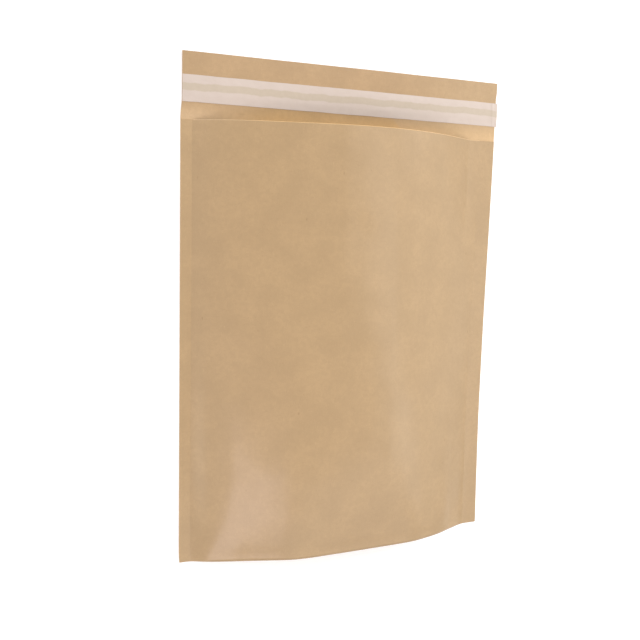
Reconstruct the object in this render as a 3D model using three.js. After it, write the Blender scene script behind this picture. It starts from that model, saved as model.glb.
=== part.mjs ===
// Padded kraft envelope, empty and unsealed, lying on its back with the flap
// open flat. Millimetres, +Z up. The origin is the bottom centre of the
// bounding box: X runs across the envelope, Y runs from the bottom fold up to
// the free edge of the flap, and Z = 0 is the surface it lies on.
//
// One kraft sheet makes the back panel, the flap, the bottom fold and the
// front panel; the two panels are bonded to each other in a narrow margin
// along each side. A padding web, folded once at the bottom, lines the pocket.
// A band of glue under a peel-off liner runs across the flap.
import * as THREE from "three";

// ---------------------------------------------------------------- dimensions
const WIDTH = 280; // across the flap, edge to edge
const LENGTH = 400; // bottom fold to the free edge of the flap
const FLAP = 50; // length of the flap beyond the mouth
const KRAFT = 0.3; // thickness of the kraft sheet
const PAD = 2.2; // thickness of one ply of padding
const PAD_EDGE = 0.8; // the same where the side seams crush it
const PAD_GAP = 0.2; // between kraft and padding
const PAD_PLY_GAP = 0.5; // least distance between the two plies of padding
const PAD_SET_BACK = 7; // the padding stops this far inside the mouth
const SEAM_LEFT = 9; // width of the bonded margin on the left
const SEAM_RIGHT = 14; // width of the bonded margin on the right
const ARCH = 22.5; // rise of the back panel at the middle of the bottom fold
const POCKET = 24; // greatest height between the plies of padding

const GLUE_WIDTH = 7; // band of adhesive across the flap
const GLUE_THICK = 0.25;
const LINER_WIDTH = 20;
const LINER_THICK = 0.15;
const LINER_FROM_EDGE = 17; // free edge of the flap to the liner
const STRIP_GAP = 0.05; // between stacked strips

const BOTTOM = -LENGTH / 2; // Y of the bottom fold
const TOP = LENGTH / 2; // Y of the flap's free edge
const MOUTH = TOP - FLAP; // Y of the mouth, where the front panel ends

// ------------------------------------------------------------------- helpers
// Monotone cubic curve through [position, value] pairs, level beyond its ends.
function curve(points) {
  const n = points.length;
  const x = points.map((p) => p[0]);
  const y = points.map((p) => p[1]);
  const slope = [];
  for (let i = 0; i < n - 1; i++)
    slope.push((y[i + 1] - y[i]) / (x[i + 1] - x[i]));
  const m = new Array(n).fill(0);
  for (let i = 1; i < n - 1; i++) {
    if (slope[i - 1] * slope[i] > 0) {
      const a = x[i] - x[i - 1];
      const b = x[i + 1] - x[i];
      m[i] =
        (3 * (a + b)) / ((2 * b + a) / slope[i - 1] + (b + 2 * a) / slope[i]);
    }
  }
  return (t) => {
    if (t <= x[0]) return y[0];
    if (t >= x[n - 1]) return y[n - 1];
    let i = 0;
    while (t > x[i + 1]) i++;
    const h = x[i + 1] - x[i];
    const s = (t - x[i]) / h;
    return (
      y[i] * (1 + 2 * s) * (1 - s) ** 2 +
      m[i] * h * s * (1 - s) ** 2 +
      y[i + 1] * s * s * (3 - 2 * s) +
      m[i + 1] * h * s * s * (s - 1)
    );
  };
}

// -------------------------------------------------------------- outline in XY
// The flap is cut a little narrower than the padded body on the left, and the
// bulge of the body draws its right edge in around the middle.
const leftEdge = curve([
  [BOTTOM, -139.6],
  [-190, -140],
  [40, -140],
  [150, -140],
  [168, -138.9],
  [TOP, -138.9],
]);
const rightEdge = curve([
  [BOTTOM, 140],
  [-170, 139.3],
  [-76, 137.8],
  [-20, 137.9],
  [60, 138.7],
  [110, 139.2],
  [150, 139.4],
  [185, 139.4],
  [193, 140],
  [TOP, 140],
]);

// Shares of the width at which every cross-section has a vertex. The first and
// last strips are the bonded side margins.
const A = SEAM_LEFT / WIDTH;
const B = 1 - SEAM_RIGHT / WIDTH;
const inner = [
  0.016, 0.032, 0.062, 0.1, 0.145, 0.195, 0.25, 0.31, 0.375, 0.44, 0.505, 0.57,
  0.635, 0.695, 0.75, 0.8, 0.845, 0.886, 0.922, 0.95, 0.97, 0.985,
];
const SHARES = [0, A, ...inner.map((s) => A + (B - A) * s), B, 1];
const LAST = SHARES.length - 1;
const SEAM_A = 1;
const SEAM_B = LAST - 1;

const xAt = (u, y) => leftEdge(y) + (rightEdge(y) - leftEdge(y)) * u;
const across = (u) => (u - 0.5) * WIDTH; // nominal X of a share

// -------------------------------------------------------- heights of the body
// Rise of the bottom fold off the surface, across the width, as a share.
const foldArch = curve([
  [-131, 0],
  [-122, 0.13],
  [-103, 0.33],
  [-85, 0.54],
  [-66, 0.78],
  [-50, 0.96],
  [-36, 1],
  [-12, 0.985],
  [22, 0.945],
  [48, 0.905],
  [60, 0.87],
  [75, 0.72],
  [90, 0.53],
  [106, 0.25],
  [115, 0.13],
  [126, 0],
]);
// How much of that rise the back panel keeps, going up from the fold.
const archKept = curve([
  [0, 1],
  [20, 0.95],
  [60, 0.76],
  [110, 0.48],
  [170, 0.2],
  [225, 0.05],
  [270, 0],
]);
// Height of the pocket across the width, as a share.
const pocketArch = curve([
  [-131, 0],
  [-120, 0.1],
  [-98, 0.4],
  [-66, 0.74],
  [-40, 0.93],
  [-14, 1],
  [20, 0.98],
  [46, 0.84],
  [70, 0.59],
  [92, 0.28],
  [106, 0.1],
  [120, 0],
]);
// Height of the pocket, going up from the fold, as a share.
const pocketOpen = curve([
  [0, 0],
  [12, 0.13],
  [40, 0.36],
  [90, 0.62],
  [150, 0.85],
  [220, 0.98],
  [270, 1],
  [350, 0.98],
]);
// Ply thickness of the padding, from its edge inwards, and its share of room.
const padEdge = SHARES[SEAM_A + 1];
const padPly = (u) => {
  const d = Math.min(u - padEdge, SHARES[SEAM_B - 1] - u) * WIDTH;
  return PAD_EDGE + (PAD - PAD_EDGE) * THREE.MathUtils.smoothstep(d, 0, 12);
};
// Distance between the two inner faces of the kraft.
function room(i, up) {
  if (i <= SEAM_A || i >= SEAM_B) return 0;
  const u = SHARES[i];
  const plies = 2 * (padPly(u) + PAD_GAP) + PAD_PLY_GAP;
  return plies + POCKET * pocketArch(across(u)) * pocketOpen(up);
}
const backRise = (i, up) => ARCH * foldArch(across(SHARES[i])) * archKept(up);

// --------------------------------------------------------------- closed sheet
// A folded sheet as a grid: columns across it, stations along its length. Each
// station gives an outer and an inner point. Cells of the inner face that lie
// on each other, where the sheet is bonded to itself, are left out, so what
// remains is one closed surface.
function sheetGeometry(outer, innerFace, name) {
  const keys = new Map();
  const positions = [];
  const vertex = (p) => {
    const key = p.map((c) => Math.round(c * 1000)).join(",");
    if (!keys.has(key)) {
      keys.set(key, positions.length / 3);
      positions.push(...p);
    }
    return keys.get(key);
  };
  const faces = [];
  const triangle = (a, b, c) => {
    if (a !== b && b !== c && a !== c) faces.push([a, b, c]);
  };
  const quad = (a, b, c, d) => {
    triangle(a, b, c);
    triangle(a, c, d);
  };
  const O = outer.map((column) => column.map(vertex));
  const I = innerFace.map((column) => column.map(vertex));
  const columns = O.length;
  const stations = O[0].length;
  for (let i = 0; i < columns - 1; i++)
    for (let j = 0; j < stations - 1; j++) {
      quad(O[i][j], O[i][j + 1], O[i + 1][j + 1], O[i + 1][j]);
      quad(I[i][j], I[i + 1][j], I[i + 1][j + 1], I[i][j + 1]);
    }
  for (let i = 0; i < columns - 1; i++) {
    quad(O[i][0], O[i + 1][0], I[i + 1][0], I[i][0]);
    const j = stations - 1;
    quad(O[i][j], I[i][j], I[i + 1][j], O[i + 1][j]);
  }
  for (let j = 0; j < stations - 1; j++) {
    quad(O[0][j], I[0][j], I[0][j + 1], O[0][j + 1]);
    const i = columns - 1;
    quad(O[i][j], O[i][j + 1], I[i][j + 1], I[i][j]);
  }
  // Two faces with the same corners and opposite sense cancel.
  const seen = new Map();
  faces.forEach((f, n) => {
    const key = [...f].sort((p, q) => p - q).join(",");
    if (seen.has(key)) {
      faces[seen.get(key)] = null;
      faces[n] = null;
      seen.delete(key);
    } else seen.set(key, n);
  });
  const geometry = new THREE.BufferGeometry();
  geometry.setAttribute(
    "position",
    new THREE.Float32BufferAttribute(positions, 3),
  );
  geometry.setIndex(faces.filter(Boolean).flat());
  geometry.computeVertexNormals();
  geometry.name = name;
  return geometry;
}

// Stations up the body, as shares of the way from the fold to the mouth. Rows
// of both plies are the same, so that bonded margins meet point for point.
const PAD_END = 1 - PAD_SET_BACK / (LENGTH - FLAP);
const RISE = [
  0, 0.02, 0.055, 0.11, 0.18, 0.26, 0.34, 0.42, 0.5, 0.58, 0.66, 0.74, 0.82,
  0.9, 0.957, PAD_END, 1,
];
const PAD_RISE_END = RISE.indexOf(PAD_END); // the row where the padding stops
const FOLD_STEPS = 4; // facets round the bottom fold

// The kraft sheet: front panel from the mouth down, round the fold, up the
// back panel and on to the free edge of the flap.
function kraftGeometry() {
  const outer = [];
  const innerFace = [];
  for (let i = 0; i <= LAST; i++) {
    const u = SHARES[i];
    const g0 = room(i, 0);
    const radius = g0 / 2 + KRAFT;
    const yFold = BOTTOM + radius;
    const yRow = (s) => yFold + (MOUTH - yFold) * s;
    const O = [];
    const I = [];
    for (let r = RISE.length - 1; r >= 0; r--) {
      const y = yRow(RISE[r]);
      const up = y - yFold;
      const x = xAt(u, y);
      const z = backRise(i, up) + KRAFT + room(i, up);
      O.push([x, y, z + KRAFT]);
      I.push([x, y, z]);
    }
    const zMid = backRise(i, 0) + radius;
    for (let s = 1; s < FOLD_STEPS; s++) {
      const a = (Math.PI * s) / FOLD_STEPS;
      const yo = yFold - radius * Math.sin(a);
      O.push([xAt(u, yo), yo, zMid + radius * Math.cos(a)]);
      I.push([
        xAt(u, yFold - (g0 / 2) * Math.sin(a)),
        yFold - (g0 / 2) * Math.sin(a),
        zMid + (g0 / 2) * Math.cos(a),
      ]);
    }
    for (let r = 0; r < RISE.length; r++) {
      const y = yRow(RISE[r]);
      const z = backRise(i, y - yFold);
      const x = xAt(u, y);
      O.push([x, y, z]);
      I.push([x, y, z + KRAFT]);
    }
    for (const y of [MOUTH + 10, MOUTH + 18, MOUTH + 34, MOUTH + 42, TOP]) {
      const x = xAt(u, y);
      O.push([x, y, 0]);
      I.push([x, y, KRAFT]);
    }
    outer.push(O);
    innerFace.push(I);
  }
  return sheetGeometry(outer, innerFace, "kraft");
}

// The padding: a web folded once at the bottom, inside the kraft.
function paddingGeometry() {
  const outer = [];
  const innerFace = [];
  for (let i = SEAM_A + 1; i <= SEAM_B - 1; i++) {
    const u = SHARES[i];
    const ply = padPly(u);
    const g0 = room(i, 0);
    const yFold = BOTTOM + g0 / 2 + KRAFT;
    const yRow = (s) => yFold + (MOUTH - yFold) * s;
    const O = [];
    const I = [];
    for (let r = PAD_RISE_END; r >= 0; r--) {
      const y = yRow(RISE[r]);
      const up = y - yFold;
      const z = backRise(i, up) + KRAFT + room(i, up) - PAD_GAP;
      O.push([xAt(u, y), y, z]);
      I.push([xAt(u, y), y, z - ply]);
    }
    const zMid = backRise(i, 0) + g0 / 2 + KRAFT;
    const rOut = g0 / 2 - PAD_GAP;
    const rIn = PAD_PLY_GAP / 2;
    for (let s = 1; s < FOLD_STEPS; s++) {
      const a = (Math.PI * s) / FOLD_STEPS;
      const yo = yFold - rOut * Math.sin(a);
      const yi = yFold - rIn * Math.sin(a);
      O.push([xAt(u, yo), yo, zMid + rOut * Math.cos(a)]);
      I.push([xAt(u, yi), yi, zMid + rIn * Math.cos(a)]);
    }
    for (let r = 0; r <= PAD_RISE_END; r++) {
      const y = yRow(RISE[r]);
      const z = backRise(i, y - yFold) + KRAFT + PAD_GAP;
      O.push([xAt(u, y), y, z]);
      I.push([xAt(u, y), y, z + ply]);
    }
    outer.push(O);
    innerFace.push(I);
  }
  return sheetGeometry(outer, innerFace, "padding");
}

// A strip of constant section, drawn as [Y, Z] points, run along X.
function strip(section, length) {
  const shape = new THREE.Shape(
    section.map(([y, z]) => new THREE.Vector2(y, z)),
  );
  const geometry = new THREE.ExtrudeGeometry(shape, {
    depth: length,
    bevelEnabled: false,
    steps: 1,
  });
  geometry.translate(0, 0, -length / 2);
  // The shape's x becomes Y and its y becomes Z; the extrusion becomes X.
  geometry.applyMatrix4(
    new THREE.Matrix4().makeBasis(
      new THREE.Vector3(0, 1, 0),
      new THREE.Vector3(0, 0, 1),
      new THREE.Vector3(1, 0, 0),
    ),
  );
  return geometry;
}

// The liner lies on the flap along both of its edges and humps over the glue.
function linerSection() {
  const half = LINER_WIDTH / 2;
  const low = KRAFT + STRIP_GAP;
  const high = low + GLUE_THICK + STRIP_GAP;
  const g = GLUE_WIDTH / 2;
  const under = [
    [-half, low],
    [-g - 2.5, low],
    [-g - 0.6, high],
    [g + 0.6, high],
    [g + 2.5, low],
    [half, low],
  ];
  const over = under.map(([y, z]) => [y, z + LINER_THICK]).reverse();
  return [...under, ...over];
}

// ------------------------------------------------------------------ the parts
const kraftPaper = new THREE.MeshStandardMaterial({
  name: "kraft",
  color: 0xc9ac88,
  roughness: 0.62,
  metalness: 0,
});
const paddingPaper = new THREE.MeshStandardMaterial({
  name: "padding",
  color: 0xb08a5c,
  roughness: 0.85,
  metalness: 0,
});
const glue = new THREE.MeshStandardMaterial({
  name: "adhesive",
  color: 0xd8cbb7,
  roughness: 0.35,
  metalness: 0,
});
const linerFilm = new THREE.MeshStandardMaterial({
  name: "liner",
  color: 0xe6d9d2,
  roughness: 0.4,
  metalness: 0,
});

const part = new THREE.Group();
part.name = "padded_envelope";

const envelope = new THREE.Mesh(kraftGeometry(), kraftPaper);
envelope.name = "envelope";
part.add(envelope);

const padding = new THREE.Mesh(paddingGeometry(), paddingPaper);
padding.name = "padding";
part.add(padding);

const closure = new THREE.Group(); // the glue and its liner, across the flap
closure.position.set(0.5, TOP - LINER_FROM_EDGE - LINER_WIDTH / 2, 0);
part.add(closure);

const g = GLUE_WIDTH / 2;
const adhesive = new THREE.Mesh(
  strip(
    [
      [-g, KRAFT + STRIP_GAP],
      [g, KRAFT + STRIP_GAP],
      [g, KRAFT + STRIP_GAP + GLUE_THICK],
      [-g, KRAFT + STRIP_GAP + GLUE_THICK],
    ],
    WIDTH - 4,
  ),
  glue,
);
adhesive.name = "adhesive_strip";
closure.add(adhesive);

const liner = new THREE.Mesh(strip(linerSection(), WIDTH - 1), linerFilm);
liner.name = "release_liner";
closure.add(liner);

export default part;
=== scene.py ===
"""Looks of the padded envelope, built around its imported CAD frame.

The envelope lies on its back with the flap open flat. Lengths in the tables
below are millimetres, as in the CAD, and every mesh is written in metres.
"""

import math

import bmesh
import bpy
import numpy as np
from mathutils import Matrix, Vector


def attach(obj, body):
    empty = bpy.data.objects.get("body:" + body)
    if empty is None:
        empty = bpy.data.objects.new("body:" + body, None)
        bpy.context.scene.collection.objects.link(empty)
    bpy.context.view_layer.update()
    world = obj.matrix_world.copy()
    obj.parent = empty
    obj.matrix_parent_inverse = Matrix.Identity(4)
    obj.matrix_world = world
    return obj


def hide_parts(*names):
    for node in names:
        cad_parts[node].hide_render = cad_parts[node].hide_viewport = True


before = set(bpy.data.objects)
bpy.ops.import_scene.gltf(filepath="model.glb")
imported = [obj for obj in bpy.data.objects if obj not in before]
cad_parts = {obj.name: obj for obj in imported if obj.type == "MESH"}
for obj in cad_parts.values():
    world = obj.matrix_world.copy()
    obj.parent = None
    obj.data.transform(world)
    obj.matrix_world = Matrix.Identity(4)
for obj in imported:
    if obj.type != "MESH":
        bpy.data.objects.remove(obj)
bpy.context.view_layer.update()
MM = 0.001

# ------------------------------------------------------------------ dimensions
WIDTH, LENGTH, FLAP = 280.0, 400.0, 50.0
KRAFT, PAD, PAD_EDGE, PAD_GAP, PLY_GAP = 0.3, 2.2, 0.8, 0.2, 0.5
SEAM_LEFT, SEAM_RIGHT = 9.0, 14.0
ARCH, POCKET, SET_BACK = 22.5, 24.0, 7.0
BOTTOM, TOP = -LENGTH / 2, LENGTH / 2
MOUTH = TOP - FLAP
LINER_WIDTH, LINER_FROM_EDGE = 20.0, 17.0
LINER_Y = TOP - LINER_FROM_EDGE - LINER_WIDTH / 2


def curve(points, soften=0.0):
    """Monotone cubic through the points, level beyond its ends, and softened by a bell of that half width."""
    x, y = (np.array(v, float) for v in zip(*points))
    h, d = np.diff(x), np.diff(y) / np.diff(x)
    m = np.zeros(len(x))
    for i in range(1, len(x) - 1):
        if d[i - 1] * d[i] > 0:
            a, b = h[i - 1], h[i]
            m[i] = 3 * (a + b) / ((2 * b + a) / d[i - 1] + (b + 2 * a) / d[i])

    def at(t):
        t = np.clip(t, x[0], x[-1])
        i = np.clip(np.searchsorted(x, t, side="right") - 1, 0, len(h) - 1)
        s = (t - x[i]) / h[i]
        return (
            y[i] * (1 + 2 * s) * (1 - s) ** 2
            + m[i] * h[i] * s * (1 - s) ** 2
            + y[i + 1] * s * s * (3 - 2 * s)
            + m[i + 1] * h[i] * s * s * (s - 1)
        )

    if not soften:
        return at
    grid = np.arange(x[0] - 60, x[-1] + 60, 0.5)
    k = np.arange(-3 * soften, 3 * soften + 0.25, 0.5)
    bell = np.exp(-0.5 * (k / soften) ** 2)
    pad = len(k) // 2
    smooth = np.convolve(
        np.pad(at(grid), pad, mode="edge"), bell / bell.sum(), mode="valid"
    )
    return lambda t: np.interp(t, grid, smooth)


left_edge = curve(
    [
        (BOTTOM, -139.6),
        (-190, -140),
        (40, -140),
        (150, -140),
        (168, -138.9),
        (TOP, -138.9),
    ]
)
right_edge = curve(
    [
        (BOTTOM, 140),
        (-170, 139.3),
        (-76, 137.8),
        (-20, 137.9),
        (60, 138.7),
        (110, 139.2),
        (150, 139.4),
        (185, 139.4),
        (193, 140),
        (TOP, 140),
    ],
)
fold_arch = curve(
    [
        (-131, 0),
        (-122, 0.13),
        (-103, 0.33),
        (-85, 0.54),
        (-66, 0.78),
        (-50, 0.96),
        (-36, 1),
        (-12, 0.985),
        (22, 0.945),
        (48, 0.905),
        (60, 0.87),
        (75, 0.72),
        (90, 0.53),
        (106, 0.25),
        (115, 0.13),
        (126, 0),
    ],
    4,
)
arch_kept = curve(
    [(0, 1), (20, 0.95), (60, 0.76), (110, 0.48), (170, 0.2), (225, 0.05), (270, 0)],
)
# room for both plies of padding, and the whole room at the mouth. Both run
# below nought past the seams and are cut there, which leaves a crisp crease.
both_plies = curve(
    [
        (-137, -1.9),
        (-131, 0),
        (-125, 1.6),
        (-119, 2.9),
        (-110, 4.3),
        (-97, 5.3),
        (84, 5.3),
        (98, 4.9),
        (108, 3.6),
        (117, 1.9),
        (126, 0),
        (132, -1.4),
    ],
)
mouth_room = curve(
    [
        (-137, -2.9),
        (-131, 0),
        (-125, 2.8),
        (-119, 5.5),
        (-107, 10.1),
        (-94, 14.2),
        (-75, 18.4),
        (-57, 21.7),
        (-30, 25.9),
        (-9, 28.4),
        (14, 29.3),
        (30, 28.9),
        (45, 27.0),
        (64, 21.8),
        (84, 15.0),
        (106, 4.7),
        (113.6, 1.1),
        (114.4, 0.88),
        (126, 0),
        (132, -0.5),
    ],
)
PAD_CREASE = 114.0 / WIDTH + 0.5  # at the mouth the plies part only from here
# further down the pocket is fuller on its right than it is at the mouth
body_room = curve(
    [
        (-137, -2.9),
        (-131, 0),
        (-125, 2.8),
        (-119, 5.5),
        (-107, 10.1),
        (-94, 14.2),
        (-75, 18.4),
        (-57, 21.7),
        (-30, 25.9),
        (-9, 28.4),
        (14, 29.3),
        (30, 28.8),
        (45, 26.6),
        (64, 21.4),
        (84, 15.2),
        (98, 10.6),
        (108, 7.0),
        (117, 3.6),
        (126, 0),
        (132, -2.5),
    ],
)
pocket_open = curve(
    [
        (0, 0),
        (12, 0.085),
        (40, 0.32),
        (90, 0.62),
        (150, 0.85),
        (220, 0.98),
        (270, 1),
        (350, 0.98),
    ],
)
SHARE_A, SHARE_B = SEAM_LEFT / WIDTH, 1 - SEAM_RIGHT / WIDTH
INNER = (SHARE_B - SHARE_A) * 0.016
PAD_A, PAD_B = SHARE_A + INNER, SHARE_B - INNER  # side edges of the padding


def smoothstep(t):
    t = np.clip(t, 0, 1)
    return t * t * (3 - 2 * t)


def x_at(u, y):
    return left_edge(y) + (right_edge(y) - left_edge(y)) * u


def across(u):
    return (u - 0.5) * WIDTH


def from_seam(u):
    return np.minimum(u - SHARE_A, SHARE_B - u) * WIDTH


def ply_room(u):
    """Room that one ply of padding takes; it thins out to nothing at the seams."""
    return np.maximum(both_plies(across(u)), 0) / 2


def room(u, up):
    """Distance between the kraft's two inner faces."""
    plies = np.maximum(both_plies(across(u)), 0)
    near = smoothstep((up - 215) / 120)
    full = (1 - near) * body_room(across(u)) + near * mouth_room(across(u))
    return plies + (np.maximum(full, 0) - plies) * pocket_open(up)


def back_rise(u, up):
    return ARCH * fold_arch(across(u)) * arch_kept(up)


# ------------------------------------------------------------ smooth 2-D noise
def waves(seed, count, low, high):
    """Sum of plane waves, for slow undulations: (x, y) in mm to about -1..1."""
    r = np.random.default_rng(seed)
    length = np.exp(r.uniform(math.log(low), math.log(high), count))
    angle = r.uniform(0, math.pi, count)
    phase = r.uniform(0, 2 * math.pi, count)
    kx, ky = (
        2 * math.pi * np.cos(angle) / length,
        2 * math.pi * np.sin(angle) / length,
    )
    size = (length / high) ** 0.8
    norm = math.sqrt((size**2).sum() / 2) * 1.8

    def at(x, y):
        out = np.zeros(np.broadcast(x, y).shape)
        for a, b, p, s in zip(kx, ky, phase, size):
            out += s * np.sin(a * x + b * y + p)
        return out / norm

    return at


front_waves = waves(3, 26, 28, 120)
back_waves = waves(7, 22, 35, 130)
fine_waves = waves(11, 30, 9, 26)


def bump_at(x, y, cx, cy, rx, ry, turn=0.0):
    c, s = math.cos(math.radians(turn)), math.sin(math.radians(turn))
    p, q = (x - cx) * c + (y - cy) * s, -(x - cx) * s + (y - cy) * c
    return np.exp(-0.5 * ((p / rx) ** 2 + (q / ry) ** 2))


def front_relief(u, x, y):
    """Small departures of the front panel from its smooth form, in mm."""
    d = np.minimum(u - SHARE_A, SHARE_B - u) * WIDTH
    inside = smoothstep(d / 30) * smoothstep((y - BOTTOM) / 22)
    w = 0.2 * front_waves(x, y) + 0.03 * fine_waves(x, y)
    w = w + 1.5 * bump_at(x, y, -91, -156, 22, 80, -18)  # a soft bulge low on the left
    return inside * w


def back_relief(u, x, y):
    d = np.minimum(u - SHARE_A, SHARE_B - u) * WIDTH
    lift = smoothstep(d / 30) * smoothstep((y - BOTTOM) / 22)
    hold = 1 - smoothstep((y - 60) / 50)  # it lies flat on the floor further up
    return lift * hold * 0.25 * back_waves(x, y)


flap_swell = waves(17, 9, 55, 160)


def flap_rise(x, y):
    """The open flap doesn't lie dead flat: it stands off the floor by up to a millimetre."""
    free = smoothstep((y - MOUTH - 3) / 16)
    return free * (0.42 + 0.38 * flap_swell(x, 0.6 * y) + 0.25 * np.exp(-(((x - 10) / 70) ** 2)))


# ----------------------------------------------------------------- closed mesh
def make_object(name, verts_mm, faces, materials, face_material=None, sharp=38.0):
    mesh = bpy.data.meshes.new(name)
    mesh.from_pydata((np.asarray(verts_mm) * MM).tolist(), [], faces)
    for m in materials:
        mesh.materials.append(m)
    if face_material is not None:
        mesh.polygons.foreach_set("material_index", np.asarray(face_material, np.int32))
    mesh.polygons.foreach_set("use_smooth", np.ones(len(mesh.polygons), bool))
    mesh.validate()
    solid = bmesh.new()
    solid.from_mesh(mesh)
    if solid.calc_volume(signed=True) < 0:
        mesh.flip_normals()
    solid.free()
    if sharp:
        mesh.set_sharp_from_angle(angle=math.radians(sharp))
    mesh.update()
    obj = bpy.data.objects.new(name, mesh)
    bpy.context.scene.collection.objects.link(obj)
    return obj


def closed_sheet(outer, inner):
    """One closed surface from two grids of points, columns by stations. Where
    the sheet is bonded to itself its inner cells cancel. Returns points, faces
    and a tag for each face: 0 outer, 1 inner, 2 cut edge."""
    n, m = outer.shape[:2]
    points = np.concatenate([outer.reshape(-1, 3), inner.reshape(-1, 3)])
    _, first, index = np.unique(
        np.round(points * 2000).astype(np.int64),
        axis=0,
        return_index=True,
        return_inverse=True,
    )
    index = index.reshape(-1)
    points = points[first]
    o = index[: n * m].reshape(n, m)
    i = index[n * m :].reshape(n, m)
    quads, tags = [], []

    def add(a, b, c, d, tag):
        q = np.stack([a.ravel(), b.ravel(), c.ravel(), d.ravel()], 1)
        quads.append(q)
        tags.append(np.full(len(q), tag))

    add(o[:-1, :-1], o[:-1, 1:], o[1:, 1:], o[1:, :-1], 0)
    add(i[:-1, :-1], i[1:, :-1], i[1:, 1:], i[:-1, 1:], 1)
    add(o[:-1, 0], o[1:, 0], i[1:, 0], i[:-1, 0], 2)
    add(o[:-1, -1], i[:-1, -1], i[1:, -1], o[1:, -1], 2)
    add(o[0, :-1], i[0, :-1], i[0, 1:], o[0, 1:], 2)
    add(o[-1, :-1], o[-1, 1:], i[-1, 1:], i[-1, :-1], 2)
    quads, tags = np.concatenate(quads), np.concatenate(tags)
    # a bonded cell appears twice, once each way round: both go
    key = np.sort(quads, 1)
    _, group, count = np.unique(key, axis=0, return_inverse=True, return_counts=True)
    group = group.reshape(-1)
    faces, face_tags = [], []
    for q, t, c in zip(quads.tolist(), tags.tolist(), count[group].tolist()):
        kept = [v for k, v in enumerate(q) if v != q[k - 1]]
        if len(set(kept)) < 3 or c > 1:
            continue
        faces.append(kept)
        face_tags.append(t)
    used = np.unique([v for f in faces for v in f])
    renumber = np.full(len(points), -1)
    renumber[used] = np.arange(len(used))
    return points[used], [[int(renumber[v]) for v in f] for f in faces], face_tags


# ------------------------------------------------------------------- materials
def new_material(name, base=(0.8, 0.8, 0.8), roughness=0.5):
    mat = bpy.data.materials.new(name)
    mat.use_nodes = True
    tree = mat.node_tree
    bsdf = tree.nodes["Principled BSDF"]
    bsdf.inputs["Base Color"].default_value = (*base, 1)
    bsdf.inputs["Roughness"].default_value = roughness
    return mat, tree, bsdf


class Graph:
    """Short calls for building a node tree."""

    def __init__(self, tree):
        self.tree, self.new, self.link = tree, tree.nodes.new, tree.links.new

    def put(self, socket, value):
        if isinstance(value, bpy.types.NodeSocket):
            self.link(value, socket)
        elif value is not None:
            socket.default_value = value

    def position(self, scale=(1, 1, 1), turn=0.0, shift=(0, 0, 0)):
        coord = self.new("ShaderNodeTexCoord")
        mapping = self.new("ShaderNodeMapping")
        mapping.inputs["Scale"].default_value = scale
        mapping.inputs["Rotation"].default_value = (0, 0, math.radians(turn))
        mapping.inputs["Location"].default_value = shift
        self.link(coord.outputs["Object"], mapping.inputs["Vector"])
        return mapping.outputs["Vector"]

    def noise(self, vector, scale, detail=4.0, rough=0.55, distort=0.0):
        n = self.new("ShaderNodeTexNoise")
        self.link(vector, n.inputs["Vector"])
        n.inputs["Scale"].default_value = scale
        n.inputs["Detail"].default_value = detail
        n.inputs["Roughness"].default_value = rough
        n.inputs["Distortion"].default_value = distort
        return n.outputs["Fac"]

    def voronoi(self, vector, scale, randomness=1.0, feature="F1"):
        n = self.new("ShaderNodeTexVoronoi")
        n.feature = feature
        self.link(vector, n.inputs["Vector"])
        n.inputs["Scale"].default_value = scale
        n.inputs["Randomness"].default_value = randomness
        return n.outputs["Distance"]

    def span(self, value, a, b, c=0.0, d=1.0, smooth=True):
        n = self.new("ShaderNodeMapRange")
        n.interpolation_type = "SMOOTHSTEP" if smooth else "LINEAR"
        self.put(n.inputs["Value"], value)
        for k, v in zip(("From Min", "From Max", "To Min", "To Max"), (a, b, c, d)):
            n.inputs[k].default_value = v
        return n.outputs["Result"]

    def math(self, op, a, b=None, c=None):
        n = self.new("ShaderNodeMath")
        n.operation = op
        for s, v in zip(n.inputs, (a, b, c)):
            self.put(s, v)
        return n.outputs[0]

    def mix(self, fac, a, b, blend="MIX"):
        n = self.new("ShaderNodeMix")
        n.data_type = "RGBA"
        n.blend_type = blend
        self.put(n.inputs[0], fac)
        for s, v in ((n.inputs[6], a), (n.inputs[7], b)):
            self.put(s, (*v, 1) if isinstance(v, tuple) and len(v) == 3 else v)
        return n.outputs[2]

    def bump(self, height, strength, distance, normal=None):
        n = self.new("ShaderNodeBump")
        n.inputs["Strength"].default_value = strength
        n.inputs["Distance"].default_value = distance
        self.link(height, n.inputs["Height"])
        if normal is not None:
            self.link(normal, n.inputs["Normal"])
        return n.outputs["Normal"]


def scaled(colour, k):
    return tuple(min(1.0, c * k) for c in colour)


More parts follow.
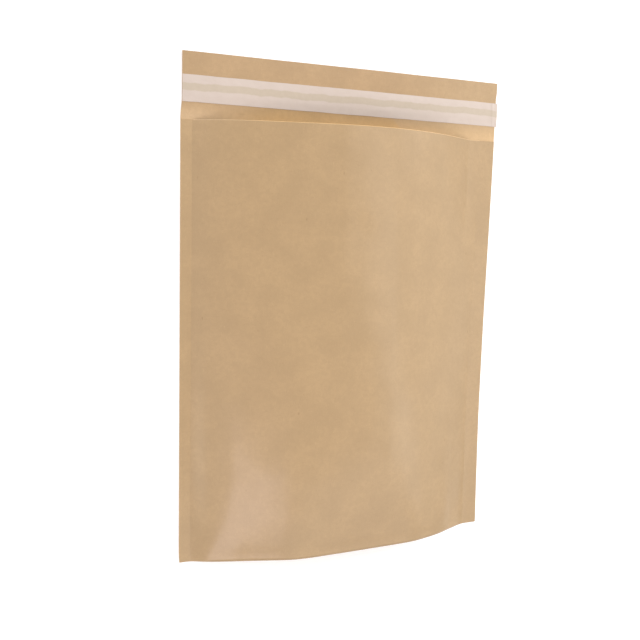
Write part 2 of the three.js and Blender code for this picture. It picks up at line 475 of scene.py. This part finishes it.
def kraft_material(name, base, roughness, glazed=True, fibre=1.0):
    """Brown kraft paper: cloudy formation, fibres along the web, a few shives
    and bark flecks, faint ribs along the web, and a soft calendered gloss.
    On the uncoated side it also paints light and shade near the mouth: a glow of bounced light and the lip's
    shadow."""
    mat, tree, bsdf = new_material(name, base, roughness)
    g = Graph(tree)
    flat = g.position()
    along = g.position(scale=(1, 0.22, 1))  # the web runs along Y
    cloud = g.noise(flat, 42, 3, 0.5)
    formation = g.noise(flat, 260, 4, 0.6, 0.4)
    fibres = g.noise(along, 1500, 5, 0.7, 1.2)
    cross = g.noise(g.position(scale=(0.3, 1, 1), turn=31), 1300, 4, 0.65, 1.0)
    tone = g.mix(
        g.span(cloud, 0.3, 0.7), scaled(base, 0.955), scaled(base, 1.045)
    )
    tone = g.mix(
        g.span(formation, 0.3, 0.7, 0, 0.5 * fibre), tone, scaled(base, 0.90)
    )
    tone = g.mix(
        g.span(fibres, 0.52, 0.72, 0, 0.42 * fibre),
        tone,
        tuple(c * k for c, k in zip(base, (1.22, 1.24, 1.3))),
    )
    tone = g.mix(
        g.span(cross, 0.54, 0.74, 0, 0.42 * fibre),
        tone,
        tuple(c * k for c, k in zip(base, (0.80, 0.76, 0.68))),
    )
    # flecks: small dark shives, and fewer, larger brown bark specks
    shive = g.voronoi(g.position(scale=(1, 0.4, 1), turn=17), 150)
    keep = g.noise(flat, 75, 1, 0.5)
    dark = g.math(
        "MULTIPLY", g.span(shive, 0.11, 0.05), g.span(keep, 0.6, 0.66)
    )
    tone = g.mix(
        g.math("MULTIPLY", dark, 0.32), tone, tuple(c * k for c, k in zip(base, (0.55, 0.46, 0.36)))
    )
    bark = g.voronoi(g.position(scale=(1, 0.7, 1), turn=-40, shift=(0.3, 0.1, 0)), 38)
    keep2 = g.noise(g.position(shift=(2, 3, 1)), 30, 1, 0.5)
    dark2 = g.math(
        "MULTIPLY", g.span(bark, 0.045, 0.018), g.span(keep2, 0.56, 0.62)
    )
    tone = g.mix(
        g.math("MULTIPLY", dark2, 0.35), tone, tuple(c * k for c, k in zip(base, (0.6, 0.5, 0.4)))
    )
    if not glazed:
        # painted light: where the flap turns into the mouth the uncoated side is painted warmer and brighter,
        # standing in for light bounced about inside the mouth
        sep = g.new("ShaderNodeSeparateXYZ")
        g.link(flat, sep.inputs[0])
        x, y = sep.outputs["X"], sep.outputs["Y"]
        painted_mouth_glow = g.span(y, (LINER_Y - 7) * MM, (MOUTH + 2) * MM, 0, 1)
        tone = g.mix(painted_mouth_glow, tone, (1.32, 1.3, 1.22), "MULTIPLY")
        # painted light: the mouth glow is painted brighter still on its right part
        right = g.math("MULTIPLY", painted_mouth_glow, g.span(x, -0.02, 0.045))
        tone = g.mix(right, tone, (1.1, 1.09, 1.07), "MULTIPLY")
        # painted light: the uncoated face is painted lighter and a little cooler towards its right side,
        # standing in for light falling from the right
        tone = g.mix(g.span(x, 0.03, 0.12), tone, (1.06, 1.09, 1.12), "MULTIPLY")
        # painted light: the mouth glow is painted fainter towards both ends
        glow_fade_right = g.math("MULTIPLY", painted_mouth_glow, g.span(x, 0.07, 0.12))
        glow_fade_left = g.math("MULTIPLY", painted_mouth_glow, g.span(x, -0.08, -0.125))
        tone = g.mix(glow_fade_right, tone, (0.87, 0.88, 0.92), "MULTIPLY")
        tone = g.mix(glow_fade_left, tone, (0.9, 0.94, 1.05), "MULTIPLY")
        # painted shadow: below the liner a wedge is painted more orange and darker in blue, standing in for
        # the shadow the raised lip casts on the flap; it lies between a soft edge on the left and a slanting
        # edge on the right
        shadow_slant = g.math("ADD", x, g.math("MULTIPLY", y, 1.0))
        painted_lip_shadow = g.math(
            "MULTIPLY",
            g.span(x, -0.100, -0.062),
            g.span(shadow_slant, 0.2035, 0.1985),
        )
        # the painted lip shadow stops below the liner
        low = g.span(y, (LINER_Y - 6) * MM, (LINER_Y - 11) * MM)
        tone = g.mix(
            g.math("MULTIPLY", painted_lip_shadow, low), tone, (1.04, 1.0, 0.88), "MULTIPLY"
        )
    g.link(tone, bsdf.inputs["Base Color"])
    rough = g.span(
        formation, 0.25, 0.75, roughness - 0.05, roughness + 0.06, smooth=False
    )
    g.link(rough, bsdf.inputs["Roughness"])
    ribs = g.noise(g.position(scale=(1, 0.02, 1)), 420, 2, 0.5)
    height = g.math("ADD", fibres, g.math("MULTIPLY", cross, 0.6))
    normal = g.bump(height, 0.22 if glazed else 0.5, 0.00006)
    normal = g.bump(formation, 0.25, 0.00012, normal)
    normal = g.bump(ribs, 0.18, 0.0001, normal)
    g.link(normal, bsdf.inputs["Normal"])
    bsdf.inputs["Specular IOR Level"].default_value = 0.32 if glazed else 0.3
    if glazed:
        bsdf.inputs["Coat Weight"].default_value = 0.62
        bsdf.inputs["Coat Roughness"].default_value = 0.2
    return mat


KRAFT_COLOUR = (0.434, 0.292, 0.153)
kraft_outer = kraft_material("kraft_glazed", KRAFT_COLOUR, 0.46)
kraft_inner = kraft_material("kraft_inner", (0.441, 0.296, 0.163), 0.6, glazed=False)
kraft_edge = kraft_material("kraft_cut_edge", (0.52, 0.37, 0.22), 0.85, glazed=False)


# -------------------------------------------------------------- kraft envelope
def spaced(stops):
    """Positions from [(end, step)] pairs: each stretch has steps of about that size."""
    out, start = [0.0], 0.0
    for end, step in stops:
        n = max(1, round((end - start) / step))
        out += list(start + (end - start) * np.arange(1, n + 1) / n)
        start = end
    return np.array(out)


def column_shares():
    parts = [
        np.linspace(0, SHARE_A, 5),
        np.linspace(SHARE_A, PAD_A, 5)[1:],
        np.linspace(PAD_A, PAD_A + 0.06, 10)[1:],
        np.linspace(PAD_A + 0.06, PAD_B - 0.06, 92)[1:],
        np.linspace(PAD_B - 0.06, PAD_CREASE, 6)[1:],
        np.linspace(PAD_CREASE, PAD_B, 6)[1:],
        np.linspace(PAD_B, SHARE_B, 5)[1:],
        np.linspace(SHARE_B, 1, 6)[1:],
    ]
    return np.concatenate(parts)


def envelope_grids():
    body = MOUTH - BOTTOM
    rise = spaced([(12, 1.2), (60, 2.4), (body - 20, 3.1), (body - 4, 2), (body, 1)])
    rise = rise / body
    shares = column_shares()
    fold_steps = 10
    outer, inner = [], []
    for u in shares:
        bonded = u <= SHARE_A + 1e-9 or u >= SHARE_B - 1e-9
        g0 = 0.0 if bonded else float(room(u, 0.0))
        radius = g0 / 2 + KRAFT
        y_fold = BOTTOM + radius
        lift = 1.7 / 29 * max(0.0, float(mouth_room(across(u))))  # the lip's cut is a little bowed
        y = y_fold + (MOUTH - y_fold) * rise
        up = y - y_fold
        gap = np.zeros_like(y) if bonded else room(u, up)
        back = back_rise(u, up)
        yf = y + lift * smoothstep((y - 60) / 90)
        xf, xb = x_at(u, yf), x_at(u, y)
        if bonded:
            yf, xf = y, xb
        fr = 0 if bonded else front_relief(u, xf, yf)
        br = 0 if bonded else back_relief(u, xb, y)
        # the lip was cut at a slant and has rolled back a little, so its edge shows
        yo_front = yf - (0 if bonded else 0.32) * (np.arange(len(yf)) == len(yf) - 1)
        zi_front = back + KRAFT + gap + fr
        zb = back + br
        stations_o = [np.stack([xf, yo_front, zi_front + KRAFT], 1)[::-1]]
        stations_i = [np.stack([xf, yf, zi_front], 1)[::-1]]
        a = np.pi * np.arange(1, fold_steps) / fold_steps
        z_mid = float(back_rise(u, 0.0)) + radius
        yo, yi = y_fold - radius * np.sin(a), y_fold - g0 / 2 * np.sin(a)
        stations_o.append(
            np.stack([x_at(u, yo), yo, z_mid + radius * np.cos(a)], 1)
        )
        stations_i.append(
            np.stack([x_at(u, yi), yi, z_mid + g0 / 2 * np.cos(a)], 1)
        )
        stations_o.append(np.stack([xb, y, zb], 1))
        stations_i.append(np.stack([xb, y, zb + KRAFT], 1))
        yflap = MOUTH + spaced([(30, 2.5), (48, 3), (50, 1)])[1:]
        xflap = x_at(u, yflap)
        zflap = np.maximum(flap_rise(xflap, yflap), 0)
        stations_o.append(np.stack([xflap, yflap, zflap], 1))
        stations_i.append(np.stack([xflap, yflap, zflap + KRAFT], 1))
        outer.append(np.concatenate(stations_o))
        inner.append(np.concatenate(stations_i))
    return np.array(outer), np.array(inner)


points, faces, tags = closed_sheet(*envelope_grids())
envelope = make_object(
    "kraft_envelope", points, faces, [kraft_outer, kraft_inner, kraft_edge], tags
)
xyz = np.empty(len(envelope.data.vertices) * 3, np.float32)
envelope.data.vertices.foreach_get("co", xyz)
xyz = xyz.reshape(-1, 3) / MM
on_seam = (xyz[:, 1] < MOUTH + 0.1) & (
    (np.abs(xyz[:, 0] - x_at(SHARE_A, xyz[:, 1])) < 0.05)
    | (np.abs(xyz[:, 0] - x_at(SHARE_B, xyz[:, 1])) < 0.05)
    | ((np.abs(xyz[:, 0] - x_at(PAD_CREASE, xyz[:, 1])) < 0.05) & (xyz[:, 1] > 90))
)
ends = np.empty(len(envelope.data.edges) * 2, np.int32)
envelope.data.edges.foreach_get("vertices", ends)
crease = on_seam[ends.reshape(-1, 2)].all(1)
for k in np.flatnonzero(crease).tolist():
    envelope.data.edges[k].use_edge_sharp = True
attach(envelope, "root")
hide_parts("envelope")
print("envelope", len(points), "points", len(faces), "faces")


# --------------------------------------------------------------------- padding
def padding_material():
    """Soft recycled kraft tissue, uncoated, with slit edges."""
    mat, tree, bsdf = new_material("padding_paper", (0.5, 0.35, 0.2), 0.85)
    g = Graph(tree)
    flat = g.position()
    formation = g.noise(flat, 320, 4, 0.6, 0.4)
    fibres = g.noise(g.position(scale=(0.3, 1, 1), turn=12), 1400, 4, 0.65, 0.8)
    tone = g.mix(formation, (0.44, 0.30, 0.165), (0.56, 0.40, 0.235))
    tone = g.mix(g.span(fibres, 0.5, 0.75, 0, 0.5), tone, (0.68, 0.52, 0.34))
    g.link(tone, bsdf.inputs["Base Color"])
    g.link(g.bump(fibres, 0.5, 0.0001), bsdf.inputs["Normal"])
    bsdf.inputs["Specular IOR Level"].default_value = 0.3
    return mat


def web_surface(u, s):
    """A point on the kraft's inner face, and the direction into the pocket.
    s runs from 0 at the fold: above 0 up the front panel, below 0 up the back."""
    g0 = room(u, 0.0)
    y_fold = BOTTOM + g0 / 2 + KRAFT
    quarter = math.pi / 4 * g0  # length of the half round, one side
    t = np.clip(np.abs(s) / np.maximum(quarter, 1e-6), 0, 1) * math.pi / 2
    y = y_fold + np.maximum(np.abs(s) - quarter, 0)
    sign = np.sign(s) + (s == 0)
    up = y - y_fold
    straight = np.abs(s) > quarter
    z_back = back_rise(u, up) + KRAFT
    z_front = z_back + room(u, up)
    z_mid = back_rise(u, 0.0) + KRAFT + g0 / 2
    y_arc = y_fold - g0 / 2 * np.cos(t)
    z_arc = z_mid + sign * g0 / 2 * np.sin(t)
    yy = np.where(straight, y, y_arc)
    zz = np.where(straight, np.where(sign > 0, z_front, z_back), z_arc)
    ny = np.where(straight, 0.0, np.cos(t))
    nz = np.where(straight, -sign, -sign * np.sin(t))
    return np.stack([x_at(u, yy), yy, zz], -1), np.stack([0 * ny, ny, nz], -1)


def honeycomb(name, material):
    """Slit paper pulled open: each ribbon between two rows of slits zigzags,
    leans over, and stays joined to its neighbours at the lands."""
    pitch, cell, land, paper = 7.6, 12.4, 3.0, 0.16
    end = MOUTH - SET_BACK - BOTTOM
    rows = int(2 * end / pitch)
    verts, faces = [], []
    u0, u1 = SHARE_A + 9.0 / WIDTH, SHARE_B - 9.0 / WIDTH
    span = (u1 - u0) * WIDTH
    cells = int(span / cell)
    # corner stations of the zigzag: along each cell a land, a ramp, a land, a ramp
    ramp = cell / 2 - land
    marks, sides = [], []
    for c in range(cells):
        base = c * cell
        for off, side in (
            (0.0, 1),
            (land * 0.5, 1),
            (land, 1),
            (land + ramp * 0.5, 0),
            (land + ramp, -1),
            (land * 1.5 + ramp, -1),
            (2 * land + ramp, -1),
            (2 * land + 1.5 * ramp, 0),
        ):
            marks.append(base + off)
            sides.append(side)
    marks, sides = np.array(marks), np.array(sides, float)
    r = np.random.default_rng(41)
    n = len(marks)
    for k in range(rows + 1):
        s0 = -end + 0.5 * pitch + k * pitch
        if s0 > end - 0.5 * pitch:
            break
        turn = 1 if k % 2 else -1
        jitter = r.normal(0, 0.22, n)
        s = s0 + turn * sides * (pitch / 2 - 0.06) + jitter * (sides == 0)
        s = s + 1.1 * np.sin(marks / 37.0 + 0.5) + 0.5 * np.sin(marks / 13.0 + 2.0)
        s = np.clip(s, -end, end)
        u = u0 + (marks + (span - cells * cell) / 2) / WIDTH + r.normal(0, 0.0006, n)
        tall = np.clip(ply_room(u) - 0.42, 0.12, None)
        tall = tall * (1 + 0.10 * r.uniform(-1, 0.2, n))
        # the ribbon leans one way; where it is joined it lies a little flatter
        lean = 0.55 * (1 - 0.3 * np.abs(sides)) * tall
        foot, normal = web_surface(u, s)
        top, normal2 = web_surface(u, np.clip(s + lean, -end, end))
        foot = foot + normal * 0.31
        top = top + normal2 * (0.31 + tall)[:, None]
        # thickness runs across the ribbon, along the web
        tangent = np.gradient(foot, axis=0)
        across_web = top - foot
        side = np.cross(tangent, across_web)
        side /= np.linalg.norm(side, axis=1)[:, None]
        half = side * paper / 2
        start = len(verts)
        ring = np.stack([foot - half, foot + half, top + half, top - half], 1)
        verts.extend(ring.reshape(-1, 3))
        for i in range(n - 1):
            a, b = start + 4 * i, start + 4 * i + 4
            for q in range(4):
                p = (q + 1) % 4
                faces.append([a + q, a + p, b + p, b + q])
        faces.append([start + 3, start + 2, start + 1, start])
        e = start + 4 * (n - 1)
        faces.append([e, e + 1, e + 2, e + 3])
    return make_object(name, verts, faces, [material], None, sharp=30)


padding = honeycomb("honeycomb_padding", padding_material())
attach(padding, "root")
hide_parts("padding")
print("padding", len(padding.data.vertices), "points", len(padding.data.polygons), "faces")


# --------------------------------------------------------- adhesive and liner
def adhesive_material():
    mat, tree, bsdf = new_material("adhesive", (0.62, 0.5, 0.36), 0.3)
    g = Graph(tree)
    n = g.noise(g.position(), 260, 3, 0.6, 0.6)
    g.link(
        g.mix(n, (0.58, 0.46, 0.32), (0.7, 0.6, 0.46)), bsdf.inputs["Base Color"]
    )
    g.link(g.bump(n, 0.5, 0.0004), bsdf.inputs["Normal"])
    return mat


def liner_material():
    mat, tree, bsdf = new_material("release_liner", (0.77, 0.68, 0.6), 0.42)
    g = Graph(tree)
    sep = g.new("ShaderNodeSeparateXYZ")
    g.link(g.position(), sep.inputs[0])
    x, y = sep.outputs["X"], sep.outputs["Y"]
    wobble = g.noise(g.position(scale=(1, 0.02, 0.02)), 60, 2, 0.5)
    wobble2 = g.noise(g.position(scale=(1, 0.02, 0.02), shift=(5, 0, 0)), 210, 2, 0.5)
    off = g.math(
        "ADD",
        g.math("MULTIPLY", g.math("SUBTRACT", wobble, 0.5), 0.0040),
        g.math("MULTIPLY", g.math("SUBTRACT", wobble2, 0.5), 0.0012),
    )
    v = g.math("ABSOLUTE", g.math("ADD", g.math("SUBTRACT", y, (LINER_Y + 1.4) * MM), off))
    band = g.span(v, 0.0032, 0.0022)
    milky = g.mix(
        g.noise(g.position(), 130, 4, 0.6),
        (0.53, 0.44, 0.378),
        (0.592, 0.502, 0.446),
    )
    tan = g.mix(
        g.noise(g.position(), 300, 4, 0.6), (0.468, 0.387, 0.299), (0.526, 0.44, 0.35)
    )
    g.link(g.mix(band, milky, tan), bsdf.inputs["Base Color"])
    g.link(
        g.bump(g.noise(g.position(scale=(1, 0.5, 1)), 120, 3, 0.5), 0.3, 0.0003),
        bsdf.inputs["Normal"],
    )
    bsdf.inputs["Specular IOR Level"].default_value = 0.5
    return mat


def strip(name, x0, x1, width, under, thick, materials, wobble=0.0, seed=1, step=1.0, shift=0.0):
    """A closed strip across the flap. under(x, v) is the height of its lower face."""
    n = int((x1 - x0) / step)
    xs = np.linspace(x0, x1, n + 1)
    vs = np.linspace(-1, 1, 25)
    edge = waves(seed, 14, 6, 60)
    lower, upper = [], []
    for x in xs:
        lo = shift - width / 2 + wobble * edge(x, 0.0)
        hi = shift + width / 2 + wobble * edge(x, 300.0)
        y = (lo + hi) / 2 + (hi - lo) / 2 * vs
        z = under(x, y)
        lower.append(np.stack([0 * y + x, LINER_Y + y, z], 1))
        upper.append(np.stack([0 * y + x, LINER_Y + y, z + thick], 1))
    pts, fcs, tgs = closed_sheet(np.array(lower)[::-1], np.array(upper)[::-1])
    return make_object(name, pts, fcs, materials, None)


liner_waves = waves(5, 18, 12, 70)
BAND_OFF = 1.2  # the glue runs a little above the middle of the liner


def liner_under(x, y):
    hump = smoothstep((9.6 - np.abs(y - BAND_OFF)) / 5.4)
    ends = smoothstep((140.5 - np.abs(x)) / 3.0)
    crease = 0.35 * np.exp(-0.5 * ((x - 136.2 + 0.05 * y) / 0.55) ** 2)
    return (
        np.maximum(flap_rise(x, LINER_Y + y), 0)
        + KRAFT
        + 0.05
        + 0.15 * hump
        + 0.07 * (1 + liner_waves(x, y * 2.0)) * (0.4 + 0.6 * ends)
        + crease
    )


adhesive = strip(
    "adhesive_band",
    -137.6,
    138.4,
    7.0,
    lambda x, y: KRAFT + 0.02 + np.maximum(flap_rise(x, LINER_Y + y), 0),
    0.12,
    [adhesive_material()],
    wobble=0.5,
    seed=9,
    shift=1.2,
)
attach(adhesive, "root")
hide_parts("adhesive_strip")
liner = strip(
    "liner_strip",
    -138.7,
    140.9,
    LINER_WIDTH,
    liner_under,
    0.1,
    [liner_material()],
    wobble=0.12,
    seed=2,
)
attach(liner, "root")
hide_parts("release_liner")

# --------------------------------------------------------------------- staging
floor_mesh = bpy.data.meshes.new("floor")
S = 6.0
floor_mesh.from_pydata(
    [(-S, -S, -0.0003), (S, -S, -0.0003), (S, S, -0.0003), (-S, S, -0.0003)],
    [],
    [(0, 1, 2, 3)],
)
floor = bpy.data.objects.new("floor", floor_mesh)
bpy.context.scene.collection.objects.link(floor)
floor_mat, _, floor_bsdf = new_material("floor", (0.95, 0.95, 0.95), 0.75)
floor_bsdf.inputs["Specular IOR Level"].default_value = 0.2
floor_bsdf.inputs["Emission Color"].default_value = (1, 1, 1, 1)
floor_bsdf.inputs["Emission Strength"].default_value = 0.2
floor_mesh.materials.append(floor_mat)

world = bpy.data.worlds.new("studio")
world.use_nodes = True
world.node_tree.nodes["Background"].inputs[0].default_value = (1.0, 0.995, 0.985, 1)
world.node_tree.nodes["Background"].inputs[1].default_value = 0.4
bpy.context.scene.world = world


def area_light(
    name, direction, distance, size, power, colour=(1, 1, 1), target=(0, 0, 0), side=None
):
    """A rectangular light facing the target, its first side along the one given."""
    light = bpy.data.lights.new(name, "AREA")
    light.shape = "RECTANGLE"
    light.size, light.size_y = size
    light.energy = power
    light.color = colour
    obj = bpy.data.objects.new(name, light)
    d = Vector(direction).normalized()
    obj.location = Vector(target) + d * distance
    side_x = Vector(side or ((1, 0, 0) if abs(d.x) < 0.7 else (0, 1, 0)))
    side_x = (side_x - d * side_x.dot(d)).normalized()
    axes = Matrix((side_x, d.cross(side_x), d)).transposed()
    obj.rotation_euler = axes.to_euler()
    bpy.context.scene.collection.objects.link(obj)
    return obj


area_light("left_back", (-0.7, 0.6, 0.5), 2.2, (1.4, 1.4), 16.3)
area_light("left_low", (-0.9, -0.1, 0.45), 2.2, (1.4, 1.4), 10.5)
area_light("right_back", (0.7, 0.6, 0.5), 2.2, (1.2, 1.2), 35)
area_light(
    "right_panel",
    (0.790, 0.012, 0.613),
    2.0,
    (2.3, 1.63),
    8.0,
    (1.0, 0.97, 0.9),
    side=(0.432, -0.732, -0.527),
)
area_light(
    "right_strip",
    (0.505, -0.01, 0.863),
    2.1,
    (2.1, 0.5),
    3.8,
    (1.0, 0.96, 0.88),
    side=(0.432, -0.732, -0.527),
)
area_light("key_small", (0.745, -0.344, 0.573), 1.8, (0.5, 0.5), 0.6)
area_light("front", (0.28, -0.56, 0.78), 2.2, (1.8, 1.0), 5.4)
area_light(
    "window",
    (-0.325, -0.47, 0.82),
    1.5,
    (0.55, 0.76),
    5.4,
    (1.0, 0.86, 0.9),
    target=(-0.09, -0.15, 0.02),
    side=(0.94, -0.33, 0.185),
)

# ---------------------------------------------------------------------- camera
cam_data = bpy.data.cameras.new("camera")
cam = bpy.data.objects.new("camera", cam_data)
bpy.context.scene.collection.objects.link(cam)
right = Vector((0.92617502, 0.02573429, 0.3762148)).normalized()
forward = Vector((0.37640296, -0.12345775, -0.91819333)).normalized()
up = right.cross(forward).normalized()
right = forward.cross(up).normalized()
pose = Matrix((right, up, -forward)).transposed().to_4x4()
pose.translation = Vector((-0.26893738, 0.07555810, 0.60168607))
cam.matrix_world = pose
cam_data.sensor_width = 36.0
cam_data.lens = 36.0 * 786.858 / 640.0
cam_data.clip_start = 0.01
bpy.context.scene.camera = cam

bpy.context.scene.view_settings.view_transform = "Standard"
bpy.context.scene.view_settings.look = "None"
